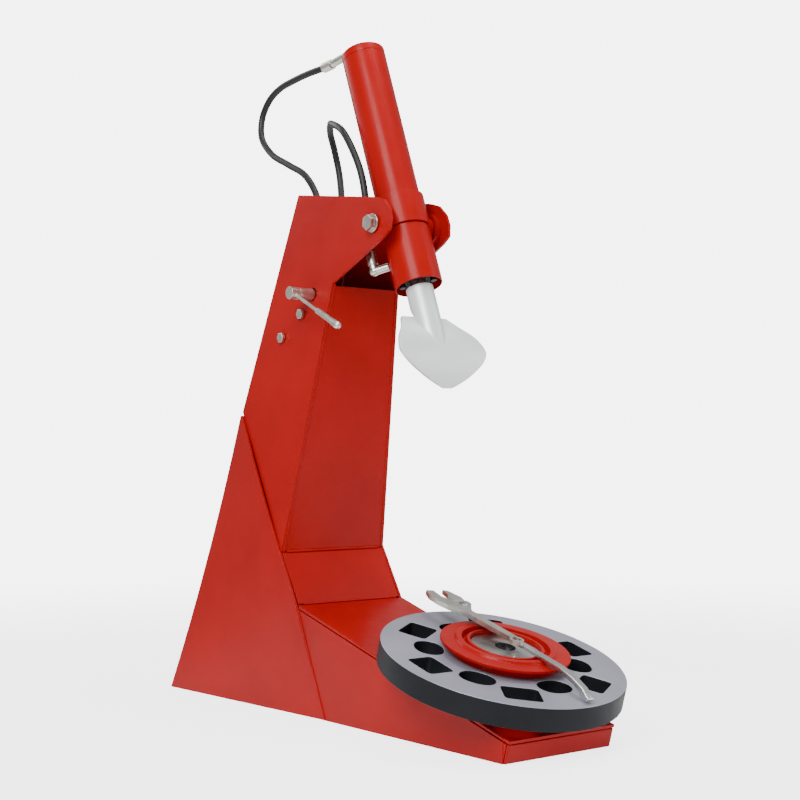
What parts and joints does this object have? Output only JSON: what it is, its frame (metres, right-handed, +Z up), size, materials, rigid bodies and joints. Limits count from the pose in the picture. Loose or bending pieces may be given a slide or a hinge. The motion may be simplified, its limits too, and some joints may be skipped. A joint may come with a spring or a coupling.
{
  "type": "bead breaker",
  "caption": "Pneumatic bead breaker with a tapered red column, a tilting air cylinder pushing a spade blade, and a slotted turntable on an inclined base.",
  "frame": {"origin": "centre of the footprint, on the floor", "axes": "+Z up; the turntable and the operator's side point to -Y; +X to the right seen from the operator's side"},
  "size_m": [0.4, 1.0104, 1.2023],
  "materials": {
    "red_paint": "gloss red enamel with light orange peel",
    "disc_coating": "satin blue-grey enamel, darker on the rim",
    "dark_steel": "black oxide",
    "bright_steel": "turned and polished steel",
    "zinc_plate": "bright zinc plating",
    "blade_finish": "satin silver coating",
    "bronze": "bearing bronze",
    "seal_rubber": "moulded",
    "hose_rubber": "smooth black hose cover"
  },
  "bodies": {
    "frame": {"side_plate_left": "red_paint", "rear_side_panel_left": "red_paint", "base_side_left": "red_paint", "side_plate_right": "red_paint", "rear_side_panel_right": "red_paint", "base_side_right": "red_paint", "column_front_plate": "red_paint", "sloped_panel": "red_paint", "deck_plate": "red_paint", "base_front_plate": "red_paint", "floor_plate": "red_paint", "back_plate": "red_paint", "bearing_housing": "dark_steel", "upper_bearing": "bright_steel", "lower_bearing": "bright_steel", "trunnion_bush_left": "bronze", "trunnion_bush_right": "bronze", "valve_body": "dark_steel", "valve_neck": "zinc_plate", "valve_screw_1": "zinc_plate", "valve_screw_2": "zinc_plate", "air_inlet_coupler": "zinc_plate", "hose_top_port": "hose_rubber", "hose_lower_port": "hose_rubber"},
    "cylinder": {"cylinder_barrel": "red_paint", "trunnion_collar": "red_paint", "lower_sleeve": "red_paint", "top_cap": "red_paint", "bottom_cap": "dark_steel", "rod_seal": "seal_rubber", "gland_bolt_1": "dark_steel", "gland_bolt_2": "dark_steel", "gland_bolt_3": "dark_steel", "gland_bolt_4": "dark_steel", "trunnion_bolt_left": "zinc_plate", "trunnion_washer_left": "zinc_plate", "trunnion_bolt_right": "zinc_plate", "trunnion_washer_right": "zinc_plate", "top_port_elbow": "zinc_plate", "lower_port_elbow": "zinc_plate"},
    "blade_rod": {"piston_rod": "bright_steel", "piston": "bright_steel", "piston_seal": "seal_rubber", "blade_shank": "blade_finish", "blade": "blade_finish", "blade_set_screw": "dark_steel"},
    "turntable": {"turntable_disc": "disc_coating", "spindle": "bright_steel", "spindle_nut": "zinc_plate", "centring_hub": "red_paint", "hub_plate": "bright_steel"},
    "valve_handle": {"valve_lever": "zinc_plate", "lever_grip": "zinc_plate"},
    "tyre_lever": {"tyre_lever": "bright_steel"},
    "wrench": {"wrench_body": "zinc_plate"},
    "wrench_jaw": {"wrench_jaw": "zinc_plate"},
    "wrench_worm": {"wrench_worm": "bright_steel"}
  },
  "joints": [
    {"name": "cylinder_tilt", "type": "hinge", "parent": "frame", "child": "cylinder", "pos_m": [0, -0.05675, 0.857], "axis": [1, 0, 0], "range_deg": [-5, 5], "deforming": ["hose_top_port", "hose_lower_port"]},
    {"name": "rod_slide", "type": "slide", "parent": "cylinder", "child": "blade_rod", "axis": [0, -0.3486, -0.9373], "range_m": [0, 0.28]},
    {"name": "turntable_spin", "type": "hinge", "parent": "frame", "child": "turntable", "pos_m": [0, -0.31275, 0.1375], "axis": [0, -0.2714, 0.9625], "continuous": true},
    {"name": "valve_lever_turn", "type": "hinge", "parent": "frame", "child": "valve_handle", "pos_m": [-0.1175, 0.11525, 0.747], "axis": [1, 0, 0], "range_deg": [-20, 20]},
    {"name": "tyre_lever_lift", "type": "slide", "parent": "turntable", "child": "tyre_lever", "axis": [0, -0.2714, 0.9625], "range_m": [0, 0.03]},
    {"name": "wrench_lift", "type": "slide", "parent": "tyre_lever", "child": "wrench", "axis": [0, -0.2714, 0.9625], "range_m": [0, 0.03]},
    {"name": "wrench_jaw_slide", "type": "slide", "parent": "wrench", "child": "wrench_jaw", "axis": [1, 0, 0], "range_m": [0, 0.01]},
    {"name": "wrench_worm_turn", "type": "hinge", "parent": "wrench", "child": "wrench_worm", "pos_m": [0.015, -0.19626, 0.20703], "axis": [1, 0, 0], "range_deg": [0, 1201]}
  ],
  "couplings": [
    {"joint": "wrench_worm_turn", "follows": "wrench_jaw_slide", "rad_per_m": 2094.4}
  ]
}
